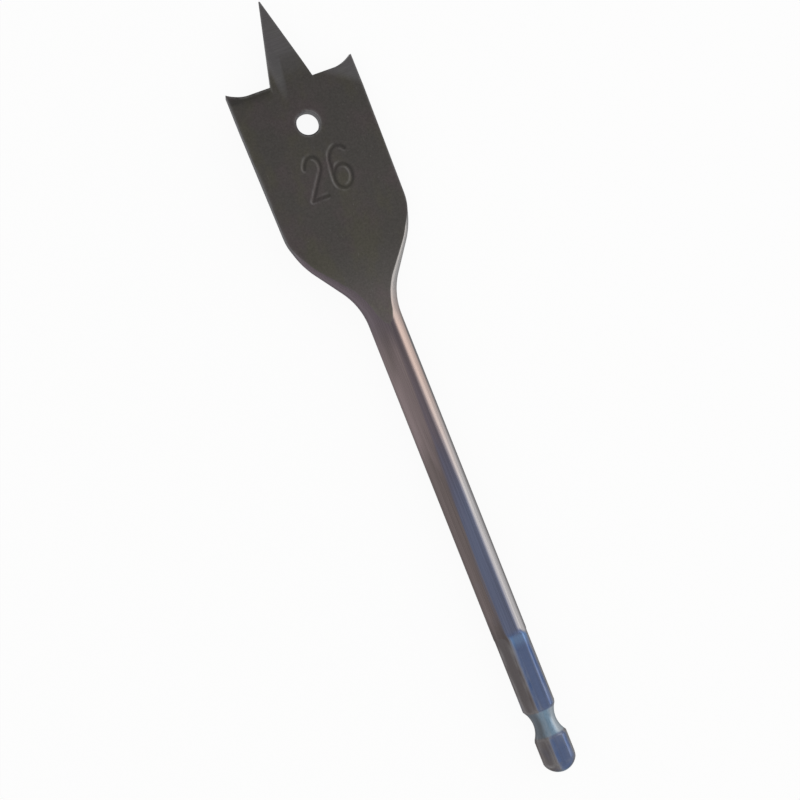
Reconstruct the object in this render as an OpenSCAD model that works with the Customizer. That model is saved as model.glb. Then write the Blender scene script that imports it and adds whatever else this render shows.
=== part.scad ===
// Spade drill bit for wood: one steel bar, forged flat at one end and ground to cut.
// The bit's axis runs along Y, with the point toward +Y and the shank toward -Y. X runs across the blade.
// It lies as it comes to rest, on its shaft and on one wing, so Z = 0 is the surface under it.
// Distances from the point, measured along the axis toward the shank, are called v.

/* [Overall] */
// Length from the point to the end of the shank
overall_l = 160; // [120:1:220]

/* [Blade] */
// Width across the wing tips, which is the size of the hole that the bit cuts
blade_w = 26; // [21:0.5:40]
// Thickness of the flat of the blade
blade_t = 2.6; // [2:0.1:4]
// Angle by which each ground side leans in toward the shank
side_taper = 0.9; // [0:0.1:2]
// Distance from the point to where the sides start to round into the shoulders
shoulder_v = 44.3; // [38:0.5:60]
// Radius of the rounded shoulder in plan
shoulder_r = 16; // [6:0.5:20]
// Angle of the straight part of the shoulder to the axis
shoulder_a = 35.5; // [25:0.5:45]
// Length over which the ground side passes into the bulged side of the forging
side_fade = 7; // [2:0.5:10]
// Bulge of the forged sides, as a share of half the thickness
side_bulge = 0.62; // [0.3:0.01:0.75]

/* [Neck] */
// Radius of the hollow curve in plan between shoulder and shaft
neck_r = 13.4; // [6:0.1:18]
// Length of the ramps from the flat of the blade up to the round of the shaft
ramp_l = 14.7; // [10:0.1:25]
// Distance by which the ramps run on past the end of the hollow curve
ramp_past = 1; // [0.6:0.1:3]
// Length over which the flat of the blade bends into each ramp
ramp_blend = 4; // [1:0.5:8]

/* [Cutting end] */
// Length of the point beyond the cutting lips
spur_l = 16.8; // [12:0.1:22]
// Width of the point at the lips
spur_w = 8.5; // [6:0.1:12]
// Width left at the very tip
tip_w = 0.25; // [0.2:0.05:1]
// Thickness left at the very tip, before the hollows are ground
tip_t = 0.5; // [0.4:0.05:1.2]
// Length over which the faces of the point are ground thinner
point_taper_l = 13.5; // [8:0.5:15]
// Height of the wing tips beyond the lips
wing_h = 1.4; // [0.5:0.1:2.4]
// Radius of the sweep from each lip up to its wing tip
sweep_r = 7.5; // [3:0.1:10]
// Radius of the wheel corner that cuts the root between lip and point
root_r = 0.6; // [0.3:0.05:1.2]
// Relief angle behind the lips, the wings and the edges of the point
relief_a = 11; // [5:0.5:18]
// Radius of the wheel that hollows the leading face along the point
hook_r = 5; // [3:0.1:8]
// Depth of that hollow at the lips
hook_depth = 0.12; // [0.05:0.01:0.4]
// Distance of the bottom of that hollow from the axis at the lips
hook_x = 2.1; // [1.5:0.05:4]
// Angle of that hollow to the axis, seen on the face
hook_a = 3.2; // [1:0.1:10]
// Angle at which that hollow deepens toward the tip
hook_tilt = 1.8; // [1:0.1:3.5]
// Radius of the wheel that hollows the leading face under each lip
lip_hook_r = 2.5; // [1.5:0.1:5]
// Depth of the hollow under each lip
lip_hook_depth = 0.15; // [0.05:0.01:0.3]
// Distance of the bottom of that hollow from the lip
lip_hook_y = 0.35; // [0.1:0.05:0.8]
// Length of the relieved trailing corner, along the side from the wing tip
corner_l = 6.9; // [3:0.1:12]
// Angle of the upper boundary of that corner to the lip
corner_turn = 34.6; // [20:0.1:50]
// Slope of that corner
corner_slope = 7; // [3:0.5:12]

/* [Hole] */
// Diameter of the hole in the blade
hole_d = 4.5; // [3:0.1:8]
// Distance from the point to the centre of the hole
hole_v = 25.5; // [22:0.5:32]
// Width of the chamfer on both rims of the hole
hole_chamfer = 0.3; // [0.1:0.05:0.8]

/* [Shank] */
// Diameter of the shaft, and across the corners of the hexagon milled on it
bar_d = 6.8; // [6.5:0.1:7.2]
// Width across the flats of the hexagon
hex_af = 6.35; // [6:0.05:6.45]
// Length of the flats from the end of the shank
hex_l = 28; // [20:0.5:40]
// Turn of the first flat from the face of the blade
hex_turn = 12; // [0:1:59]
// Slope at which the flats run out into the shaft
hex_runout_a = 20; // [10:1:45]
// Distance from the end of the shank to the middle of the locking groove
groove_pos = 10.3; // [8:0.1:14]
// Diameter at the bottom of the groove
groove_d = 4.64; // [4.2:0.02:5.4]
// Radius of the groove's round profile
groove_r = 5; // [2:0.1:6]
// Radius of the rounded end of the shank, as a multiple of the radius of the bar
end_round = 1.03; // [1.02:0.01:3]

/* [Hidden] */
$fn = 96;

// Cutters reach this far past what they cut
over = 6;
// Depth by which a wheel corner cuts past the two faces that it joins
corner_bite = 0.02;
// Step between forging and shaft, and the length of the forging inside the shaft
seam = 0.01;
lap = 0.5;
// Rings along the shoulders and the neck, and points up each bulged side
neck_rings = 44;
side_points = 15;
// The smallest bulge that still gives a side its own arc
flat_bulge = 0.001;

bar_r = bar_d / 2;
half_t = blade_t / 2;
half_w = blade_w / 2;
spur_hw = spur_w / 2;
tip_hw = tip_w / 2;
tip_y = overall_l / 2;
end_y = -overall_l / 2;
lip_y = tip_y - spur_l;
wing_v = spur_l - wing_h;
wing_y = tip_y - wing_v;

// Shoulder arc: starts in line with the ground side and turns to the straight slope
shoulder_hw = half_w - (shoulder_v - wing_v) * tan(side_taper);
shoulder_cx = shoulder_hw - shoulder_r * cos(side_taper);
shoulder_cv = shoulder_v - shoulder_r * sin(side_taper);
slope_v = shoulder_cv + shoulder_r * sin(shoulder_a);
slope_hw = shoulder_cx + shoulder_r * cos(shoulder_a);

// Neck arc: starts at the end of the straight slope and ends in line with the shaft
hollow_hw = bar_r + neck_r * (1 - cos(shoulder_a));
hollow_v = slope_v + (slope_hw - hollow_hw) / tan(shoulder_a);
neck_v = hollow_v + neck_r * sin(shoulder_a);

// Ramps: straight planes that rise from the blade's flat and run out on the shaft
ramp_end_v = neck_v + ramp_past;
ramp_v = ramp_end_v - ramp_l;
ramp_rise = (bar_r - half_t) / ramp_l;

// Roll about the axis at which a wing's lower corner touches what the shaft lies on
rest_roll = asin(bar_r / norm([half_w, half_t])) - atan2(half_t, half_w);

// Half width of the blade and neck at the widest part of the section
function half_width(v) =
    v < wing_v ? half_w :
    v < shoulder_v ? half_w - (v - wing_v) * tan(side_taper) :
    v < slope_v ? shoulder_cx + sqrt(shoulder_r * shoulder_r - (v - shoulder_cv) * (v - shoulder_cv)) :
    v < hollow_v ? slope_hw - (v - slope_v) * tan(shoulder_a) :
    v < neck_v ? bar_r + neck_r - sqrt(neck_r * neck_r - (neck_v - v) * (neck_v - v)) :
    bar_r;

// Angle of the outline to the axis
function outline_angle(v) =
    v < shoulder_v ? 0 :
    v < slope_v ? asin((v - shoulder_cv) / shoulder_r) :
    v < hollow_v ? shoulder_a :
    v < neck_v ? asin((neck_v - v) / neck_r) :
    0;

// Half thickness, with the bend into the ramp as a parabola
function half_thick(v) =
    let (bend = ramp_blend / 2, past = v - ramp_v)
    past < -bend ? half_t :
    past < bend ? half_t + ramp_rise * (past + bend) * (past + bend) / (4 * bend) :
    half_t + ramp_rise * past;

// Smooth step from 0 to 1
function fade(t) =
    let (c = min(max(t, 0), 1))
    c * c * (3 - 2 * c);

// Bulge of the side as a share of half the thickness: none where ground, round like the shaft at the neck
function bulge(v) =
    let (
        h = min(half_thick(v), bar_r),
        forged = side_bulge * fade((v - shoulder_v) / side_fade) / cos(outline_angle(v)),
        like_shaft = v < slope_v ? 0 : (bar_r - sqrt(bar_r * bar_r - h * h)) / h
    )
    max(flat_bulge, min(1, max(forged, like_shaft)));

// One closed section: down the right side, then up the left side
function section(v, shrink) =
    let (
        w = half_width(v) - shrink,
        h = half_thick(v) - shrink,
        share = bulge(v),
        r = h * (1 + share * share) / (2 * share),
        a = asin(h / r),
        right = [
            for (i = [0 : side_points - 1])
            let (t = a * (1 - 2 * i / (side_points - 1)))
            [w - r * (1 - cos(t)), tip_y - v, r * sin(t)]
        ]
    )
    concat(right, [for (p = right) [-p.x, p.y, -p.z]]);

// Solid through a list of sections with the same number of points, each further from the point
module loft(sections) {
    n = len(sections[0]);
    last = (len(sections) - 1) * n;
    polyhedron(
        points = [for (s = sections) each s],
        faces = concat(
            [[for (i = [n - 1 : -1 : 0]) i]],
            [
                for (k = [0 : n : last - n], i = [0 : n - 1])
                let (j = (i + 1) % n)
                each [[k + i, k + j, k + n + j], [k + i, k + n + j, k + n + i]]
            ],
            [[for (i = [0 : n - 1]) last + i]]
        )
    );
}

// Forged blank: the flat of the blade, the shoulders and the neck, up to and a little into the shaft
module forging() {
    loft(concat(
        [for (v = [0, wing_v, shoulder_v]) section(v, 0)],
        [
            for (i = [1 : neck_rings - 1])
            section(shoulder_v + (neck_v - shoulder_v) * i / neck_rings, 0)
        ],
        [for (v = [neck_v, neck_v + lap]) section(v, seam)]
    ));
}

// Wheel path that frees one side of the point, one lip and the inside of its wing
module lip_cut() {
    lean = (spur_hw - tip_hw) / spur_l;
    up = cos(relief_a);
    sweep_run = sqrt(2 * wing_h * up * sweep_r - wing_h * wing_h * up * up);
    sweep_x = max(half_w - sweep_run, spur_hw + 2 * root_r);
    lip_middle_x = (sweep_x + spur_hw) / 2;
    top = (spur_l + over) * up;
    length = blade_t + 2 * over;
    translate([0, lip_y, 0])
        rotate([-relief_a, 0, 0]) {
            linear_extrude(length, center = true)
                polygon([
                    [-spur_hw, 0],
                    [over * lean - tip_hw, top],
                    [-sweep_x, top],
                    [-sweep_x, 0]
                ]);
            intersection() {
                translate([-sweep_x, sweep_r - corner_bite, 0])
                    cylinder(r = sweep_r, h = length, center = true);
                translate([-sweep_x - sweep_r, -over, -length / 2])
                    cube([sweep_x + sweep_r - lip_middle_x, sweep_r + over, length]);
            }
            translate([-spur_hw - root_r + corner_bite, root_r - corner_bite, 0])
                cylinder(r = root_r, h = length, center = true);
            translate([-sweep_x - sweep_r, sweep_r, -length / 2])
                cube([sweep_r + corner_bite, top, length]);
        }
}

// Plane that grinds one face of the point thinner toward the tip
module point_taper_cut() {
    fall = (half_t - tip_t / 2) / point_taper_l;
    top_y = tip_y + over;
    rotate([90, 0, 90])
        linear_extrude(blade_w, center = true)
            polygon([
                [tip_y - point_taper_l, half_t],
                [top_y, tip_t / 2 - over * fall],
                [top_y, half_t + over],
                [tip_y - point_taper_l, half_t + over]
            ]);
}

// Round hollow on the leading face along the edge of the point, which gives that edge its hook
module hook_cut() {
    translate([-hook_x, lip_y, half_t - hook_depth])
        rotate([0, 0, -hook_a])
            rotate([-hook_tilt, 0, 0])
                translate([0, 0, hook_r])
                    rotate([90, 0, 0])
                        cylinder(r = hook_r, h = 2 * (spur_l + over), center = true);
}

// Round hollow on the leading face along the lip
module lip_hook_cut() {
    front_lip_y = lip_y + half_t * tan(relief_a);
    translate([-hook_x, front_lip_y - lip_hook_y, half_t - lip_hook_depth + lip_hook_r])
        rotate([0, -90, 0])
            cylinder(r = lip_hook_r, h = half_w - hook_x + over);
}

// Sloping plane that relieves the trailing corner of the blade, clear of the point
module corner_cut() {
    reach = blade_w + over;
    intersection() {
        translate([half_w, wing_y - corner_l, half_t])
            rotate([0, 0, -corner_turn])
                rotate([-corner_slope, 0, 0])
                    translate([-reach, 0, 0])
                        cube([2 * reach, reach, over]);
        translate([spur_hw + root_r, lip_y - reach, 0])
            cube([half_w, 2 * reach, half_t + over]);
    }
}

// Hole through the blade with a small chamfer on both rims
module hole_cut() {
    hole_r = hole_d / 2;
    rim = hole_r + hole_chamfer;
    translate([0, tip_y - hole_v, 0]) {
        cylinder(r = hole_r, h = blade_t + over, center = true);
        for (turn = [0, 180])
            rotate([0, turn, 0])
                translate([0, 0, half_t - hole_chamfer])
                    cylinder(r1 = hole_r, r2 = rim + hole_chamfer, h = 2 * hole_chamfer);
    }
}

// Blade as ground: each cut is repeated half a turn round the axis, because both sides cut
module blade() {
    difference() {
        forging();
        for (turn = [0, 180])
            rotate([0, turn, 0]) {
                lip_cut();
                point_taper_cut();
                hook_cut();
                lip_hook_cut();
                corner_cut();
            }
        hole_cut();
    }
}

// One flat of the hexagon, with its sloping run-out toward the shaft
module hex_flat_cut() {
    rise = bar_r;
    run = rise / tan(hex_runout_a);
    hex_y = end_y + hex_l;
    translate([0, 0, hex_af / 2])
        rotate([90, 0, 90])
            linear_extrude(bar_d + over, center = true)
                polygon([
                    [end_y - over, 0],
                    [hex_y, 0],
                    [hex_y + run, rise],
                    [end_y - over, rise]
                ]);
}

// Half profile of the bar: straight from the neck, with an arc over the end
module bar_profile() {
    end_r = end_round * bar_r;
    straight_l = tip_y - neck_v - end_y - end_r;
    translate([0, neck_v - tip_y])
        intersection() {
            square([bar_r, straight_l + end_r]);
            union() {
                square([bar_r, straight_l]);
                translate([0, straight_l])
                    circle(r = end_r);
            }
        }
}

// Round bar from the neck to the rounded end, with the ends of the ramps on it
module shaft() {
    neck_y = tip_y - neck_v;
    past_y = tip_y - ramp_end_v - over;
    before_y = neck_y + over;
    difference() {
        rotate([90, 0, 0])
            rotate_extrude()
                bar_profile();
        for (turn = [0, 180])
            rotate([0, turn, 0])
                rotate([90, 0, 90])
                    linear_extrude(bar_d + over, center = true)
                        polygon([
                            [past_y, bar_r + over * ramp_rise],
                            [before_y, bar_r - (before_y - past_y - over) * ramp_rise],
                            [before_y, bar_r + over],
                            [past_y, bar_r + over]
                        ]);
    }
}

// Shaft with the hexagon and the locking groove cut in its end
module shank() {
    difference() {
        shaft();
        for (i = [0 : 5])
            rotate([0, hex_turn + 60 * i, 0])
                hex_flat_cut();
        translate([0, end_y + groove_pos, 0])
            rotate([90, 0, 0])
                rotate_extrude()
                    translate([groove_d / 2 + groove_r, 0])
                        circle(r = groove_r);
    }
}

// The whole bit, rolled and lifted to the way it lies
module spade_bit() {
    color([0.27, 0.26, 0.24])
        translate([0, 0, bar_r])
            rotate([0, rest_roll, 0]) {
                blade();
                shank();
            }
}

spade_bit();
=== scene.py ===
"""Spade drill bit: the forged and ground steel piece, its finish and a plain studio around it."""

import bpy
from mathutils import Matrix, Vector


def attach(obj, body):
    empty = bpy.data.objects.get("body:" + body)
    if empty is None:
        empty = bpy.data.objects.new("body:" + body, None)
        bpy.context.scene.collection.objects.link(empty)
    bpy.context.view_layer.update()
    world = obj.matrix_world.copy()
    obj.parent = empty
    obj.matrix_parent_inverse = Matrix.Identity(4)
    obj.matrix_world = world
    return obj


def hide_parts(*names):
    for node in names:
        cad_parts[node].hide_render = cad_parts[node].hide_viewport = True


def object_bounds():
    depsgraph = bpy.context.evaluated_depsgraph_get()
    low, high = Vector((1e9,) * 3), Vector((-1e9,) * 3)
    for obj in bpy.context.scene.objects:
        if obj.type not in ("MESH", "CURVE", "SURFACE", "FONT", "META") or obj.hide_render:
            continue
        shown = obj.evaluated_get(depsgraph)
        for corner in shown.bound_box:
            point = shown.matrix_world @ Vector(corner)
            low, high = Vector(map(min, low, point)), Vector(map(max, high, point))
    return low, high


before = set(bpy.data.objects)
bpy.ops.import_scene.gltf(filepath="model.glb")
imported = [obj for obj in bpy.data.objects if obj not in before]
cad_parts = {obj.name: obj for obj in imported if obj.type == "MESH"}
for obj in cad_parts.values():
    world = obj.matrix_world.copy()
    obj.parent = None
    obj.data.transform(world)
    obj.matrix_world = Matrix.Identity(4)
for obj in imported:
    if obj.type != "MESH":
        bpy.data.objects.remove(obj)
CAD_BOX = [list(corner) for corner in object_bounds()]

import math
from types import SimpleNamespace

import bpy
import numpy as np
from bpy.props import FloatProperty, FloatVectorProperty, PointerProperty

bl_info = {
    "name": "Spade Drill Bit",
    "version": (1, 0, 0),
    "blender": (4, 5, 0),
    "location": "View3D > Sidebar > Spade Bit",
    "description": "Makes a flat wood boring bit of tempered steel, lying on a plain studio floor",
    "category": "Add Mesh",
}

MM = 0.001
CAD_NODE = "spade_bit"
PIECE_NAME = "forged_bit"

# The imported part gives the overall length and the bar's diameter
LENGTH_MM = (CAD_BOX[1][1] - CAD_BOX[0][1]) / MM
BAR_MM = (CAD_BOX[1][2] - CAD_BOX[0][2]) / MM


def length(name, size_mm, description):
    """A length in metres whose default is given in millimetres."""
    return FloatProperty(name=name, description=description, default=size_mm * MM, min=0.0,
                         precision=5, subtype="DISTANCE", unit="LENGTH")


def angle(name, degrees, description):
    """An angle in radians whose default is given in degrees."""
    return FloatProperty(name=name, description=description, default=math.radians(degrees),
                         subtype="ANGLE", unit="ROTATION")


def amount(name, value, description):
    """A plain number from 0 up."""
    return FloatProperty(name=name, description=description, default=value, min=0.0)


def colour(name, rgb, description):
    """A linear colour."""
    return FloatVectorProperty(name=name, description=description, default=rgb, size=3,
                               min=0.0, max=1.0, subtype="COLOR")


class BitSizes(bpy.types.PropertyGroup):
    """Sizes of the bit. Distances from the point run along the axis toward the shank."""

    overall_l: length("Length", LENGTH_MM, "From the point to the end of the shank")
    blade_w: length("Blade width", 26, "Across the wing tips")
    blade_t: length("Blade thickness", 2.6, "Thickness of the flat of the blade")
    side_taper: angle("Side taper", 0.9, "Lean of each ground side toward the axis")
    shoulder_v: length("Shoulder start", 44.3, "From the point to where the sides start to round")
    shoulder_r: length("Shoulder radius", 16, "Radius of the rounded shoulder in plan")
    shoulder_a: angle("Shoulder angle", 35.5, "Straight part of the shoulder to the axis")
    side_fade: length("Side fade", 7, "Over which the ground side passes into the bulged side")
    side_bulge: amount("Side bulge", 0.62, "Bulge of the forged sides, as a share of half the thickness")
    neck_r: length("Neck radius", 13.4, "Hollow curve in plan between shoulder and shaft")
    ramp_l: length("Ramp length", 14.7, "From the flat of the blade up to the round of the shaft")
    ramp_past: length("Ramp run-out", 1, "Run of the ramps past the end of the hollow curve")
    ramp_blend: length("Ramp bend", 4, "Over which the flat of the blade bends into each ramp")
    spur_l: length("Point length", 16.8, "Length of the point beyond the cutting lips")
    spur_w: length("Point width", 8.5, "Width of the point at the lips")
    tip_w: length("Tip width", 0.25, "Width left at the very tip")
    tip_t: length("Tip thickness", 0.5, "Thickness left at the very tip")
    point_taper_l: length("Point taper", 13.5, "Over which the faces of the point get thinner")
    wing_h: length("Wing height", 1.4, "Height of the wing tips beyond the lips")
    sweep_r: length("Sweep radius", 7.5, "From each lip up to its wing tip")
    relief_a: angle("Relief", 11, "Relief behind the lips, the wings and the edges of the point")
    hook_r: length("Hook radius", 5, "Wheel that hollows the leading face along the point")
    hook_depth: length("Hook depth", 0.12, "Depth of that hollow at the lips")
    hook_x: length("Hook place", 2.1, "Bottom of that hollow from the axis, at the lips")
    hook_a: angle("Hook turn", 3.2, "That hollow to the axis, seen on the face")
    hook_tilt: angle("Hook tilt", 1.8, "Angle at which that hollow deepens toward the tip")
    lip_hook_r: length("Lip hook radius", 2.5, "Wheel that hollows the face under each lip")
    lip_hook_depth: length("Lip hook depth", 0.15, "Depth of the hollow under each lip")
    lip_hook_y: length("Lip hook place", 0.35, "Bottom of that hollow from the lip")
    corner_l: length("Corner length", 6.9, "Relieved trailing corner along the side")
    corner_turn: angle("Corner turn", 34.6, "Boundary of that corner to the lip")
    corner_slope: angle("Corner slope", 7, "Slope of that corner")
    root_r: length("Root radius", 0.6, "Wheel corner between lip and point")
    hole_d: length("Hole diameter", 4.5, "Hole in the blade")
    hole_v: length("Hole place", 25.5, "From the point to the centre of the hole")
    hole_chamfer: length("Hole chamfer", 0.3, "Chamfer on both rims of the hole")
    bar_d: length("Bar diameter", BAR_MM, "Diameter of the shaft and across the hexagon's corners")
    hex_af: length("Across flats", 6.35, "Width of the hexagon across its flats")
    hex_l: length("Hexagon length", 28, "Length of the flats from the end of the shank")
    hex_turn: angle("Hexagon turn", 12, "Turn of the first flat from the face of the blade")
    hex_runout_a: angle("Hexagon run-out", 20, "Slope at which the flats run out into the shaft")
    groove_pos: length("Groove place", 10.3, "From the end of the shank to the middle of the groove")
    groove_d: length("Groove diameter", 4.64, "Diameter at the bottom of the locking groove")
    groove_r: length("Groove radius", 5, "Radius of the groove's round profile")
    end_round: amount("End rounding", 1.03, "Radius of the rounded end to the radius of the bar")
    edge_r: length("Edge radius", 0.1, "Broken edge along the ground sides of the blade")


class NumberSizes(bpy.types.PropertyGroup):
    """Sizes of the stamped size number."""

    place_v: length("Place", 35.7, "From the point to the middle of the number")
    place_x: length("Offset", 0.03, "From the axis to the middle of the number")
    height: length("Height", 8.2, "Height of the digits between the middles of their strokes")
    width: length("Width", 3.6, "Width of a digit between the middles of its strokes")
    gap: length("Gap", 1.8, "Between the digits, from stroke middle to stroke middle")
    stroke: length("Stroke", 1.1, "Width of a stroke at the surface")
    depth: length("Depth", 0.2, "Depth of the strokes")
    drop: length("Drop", 0.4, "How much lower the first digit sits than the second")
    burr: length("Burr", 0.03, "Height of the metal pushed up beside the strokes")
    slant: angle("Slant", 5.5, "Lean of the digits")


class SteelLooks(bpy.types.PropertyGroup):
    """Colours of the tempered steel."""

    scale: colour("Forging skin", (0.076, 0.071, 0.067), "Dark skin on the flats of the blade")
    scale_warm: colour("Warm skin", (0.085, 0.072, 0.073), "Patches of the skin with a purple tint")
    scale_olive: colour("Olive skin", (0.082, 0.077, 0.064), "Patches of the skin with an olive tint")
    # Painted shade: a dark colour put under the left lip, in the stamped strokes and in a band along the
    # bar
    painted_shade: colour("Painted shade", (0.022, 0.022, 0.021), "Painted shade in the hollows, the strokes and along the bar")
    ground: colour("Ground steel", (0.131, 0.128, 0.134), "Faces cut by the grinding wheel")
    brown: colour("Brown temper", (0.170, 0.140, 0.138), "Shaded side of the shaft")
    pink: colour("Pink temper", (0.245, 0.196, 0.200), "Lighter stretch of the shaft near the neck")
    brown_end: colour("Dark brown temper", (0.120, 0.102, 0.102), "Hexagon's brown side")
    violet: colour("Violet temper", (0.135, 0.112, 0.140), "Temper tint near the neck")
    slate: colour("Slate temper", (0.148, 0.168, 0.255), "Temper tint toward the shank")
    blue: colour("Blue temper", (0.088, 0.142, 0.300), "Temper tint on the hexagon")
    # Painted highlight: the next three colours paint the pale right side of the neck and the shaft
    neck: colour("Neck highlight", (0.330, 0.322, 0.318), "Pale side of the neck")
    straw_highlight: colour("Straw highlight", (0.475, 0.372, 0.335), "Pale side of the shaft near the neck")
    pale: colour("Pale highlight", (0.445, 0.432, 0.438), "Pale side of the shaft near the shank")
    # Painted shade: a darker strip along the far right side of the bar, past its highlight
    rim: colour("Side shade", (0.205, 0.198, 0.202), "Right side of the bar, under the pale band")
    # Painted highlight: a bright blue glint where the hexagon's flats run out
    painted_glint: colour("Run-out glint", (0.190, 0.340, 0.600), "Start of the hexagon's flats")
    # Painted shade on the groove's left and a painted highlight on its right
    groove_painted_shade: colour("Dark groove", (0.110, 0.140, 0.170), "Locking groove on the left")
    groove: colour("Groove", (0.262, 0.420, 0.570), "Locking groove on top, and the very end")
    groove_painted_highlight: colour("Light groove", (0.430, 0.515, 0.580), "Locking groove on the right")
    # Bare steel also paints the highlight along the left edges of the stamped strokes
    bright: colour("Bare steel", (0.42, 0.42, 0.43), "Edges and scratches worn bright")


class StudioLooks(bpy.types.PropertyGroup):
    """Floor, sky and lamp."""

    floor: colour("Floor", (0.94, 0.94, 0.94), "Colour of the floor")
    sky: colour("Sky", (1.0, 0.995, 0.985), "Colour of the soft light all round")
    sky_low: amount("Light at the horizon", 0.80, "Strength of the soft light near the floor")
    sky_high: amount("Light overhead", 0.66, "Strength of the soft light from above")
    side_lamp: colour("Side lamp", (1.0, 0.95, 0.90), "Colour of the long lamp beside the bit")
    side_power: amount("Side lamp power", 0.58, "Power of that lamp in watts")


# Steps of the grids, in millimetres unless the name says otherwise
POINT_STEP = 0.136
DIGIT_STEP = 0.18
WING_STEP = 0.42
SWEEP_STEP = 0.31
TOP_ROWS = 60
BLADE_ROW = 0.32
DIGIT_ROW = 0.16
NECK_ROW = 0.32
SHAFT_ROW = 2.2
HEX_ROW = 2.5
FINE_ROW = 0.16
RING_STEP = math.radians(4.7)
EDGE_STEPS = 3
HOLE_RINGS = 9
HOLE_WALL_ROWS = 4
END_ROWS = 20
STEP_SLACK = 1e-6

# Regions of the blade that the grids are fitted to, in millimetres
DIGIT_REACH_X = 6.0
BASE_V = 21.3
HOLE_BLOCK = 3.9
DIGIT_V = (30.1, 42.1)

# Rounds in which height and relief of the cutting edges settle, and the flattest side's bulge
RELIEF_ROUNDS = 2
LEAST_BULGE = 0.01

# Angle between two of the hexagon's flats
SECTOR = math.pi / 3

# Masks on the mesh that the finish follows, one of them for painted shade
MASKS = ("skin", "ground", "painted_shade", "edge")

# Depth in millimetres at which a cut has its full finish, and the cuts that the wheel leaves bare
CUT_FULL_DEPTH = {"hook": 0.14, "lip": 0.08, "corner": 0.19, "taper": 0.22, "shank": 0.05}
BARE_CUTS = ("hook", "corner", "taper")

# How bare the point is, and over which length from the lips it gets so, in millimetres
POINT_BARE = 0.45
POINT_BARE_L = 4.0

# How bare the wall of the hole and the cut faces of the shank are
HOLE_BARE = 0.8
SHANK_BARE = 0.35

# Painted shade in the hollow under the leading lip, and below that lip down to a distance in millimetres
HOLLOW_SHADE = 0.85
LIP_SHADE = 0.75
LIP_SHADE_L = 3.0

# Reach of the wear beside each kind of edge, and length over which it starts on the hexagon, both in
# millimetres, and its reach on the walls of the cutting edges, as a share of their height
EDGE_REACH = {"side": 0.22, "cutting": 0.2, "hole": 0.2, "hexagon": 0.28, "groove": 0.3, "end": 0.16}
HEX_START = 1.0
WALL_EDGE = 0.07

# Share of the wear that the forged sides lack, and the wear on the hole's chamfer
FORGED_EDGE_LOSS = 0.75
CHAMFER_EDGE = 0.4

# Arcs of the digits in a box one wide and one high: middle, radii, angles in degrees, points
TWO_HOOK = ((0.5, 0.74), (0.44, 0.26), 172, -32, 26)
TWO_FOOT = ((0.06, 0.0), (0.94, 0.0))
SIX_CROWN = ((0.54, 0.70), (0.54, 0.30), 38, 180, 20)
SIX_BOWL = ((0.5, 0.28), (0.5, 0.28), 180, 540, 36)

# Shares of half a stroke's width: its sloping wall, the burr's place and reach, the reach of the painted
# highlight on its left edge
STROKE_WALL = 0.85
BURR_PLACE = 1.3
BURR_REACH = 0.7
STROKE_HIGHLIGHT = 0.35

# Painted shade on the left side of a stroke; its right side has it in full
STROKE_SHADE = 0.45

# Points closer than this, in metres, are one point, and edges with a greater turn than this are sharp
WELD = 1e-8
SMOOTH_ANGLE = math.radians(24)


def fade(t):
    """Smooth step from 0 to 1: 3 t squared less 2 t cubed."""
    t = np.clip(t, 0.0, 1.0)
    return t * t * (3.0 - 2.0 * t)


def spaced(knots, steps):
    """Rising values through all the knots, each span cut in equal parts no longer than its step."""
    parts = [
        np.linspace(a, b, max(1, math.ceil((b - a) / step - STEP_SLACK)), endpoint=False)
        for a, b, step in zip(knots[:-1], knots[1:], steps)
    ]
    return np.concatenate(parts + [knots[-1:]])


def root_of(square):
    """Square root that takes what is below nought as nought."""
    return np.sqrt(np.maximum(square, 0.0))


def near(distance, reach):
    """1 at an edge, falling off as a bell curve: e to minus the square of distance over reach."""
    return np.exp(-((distance / reach) ** 2))


def worn(kind, distance):
    """Wear beside one kind of edge, by the distance from it."""
    return near(distance, EDGE_REACH[kind] * MM)


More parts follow.
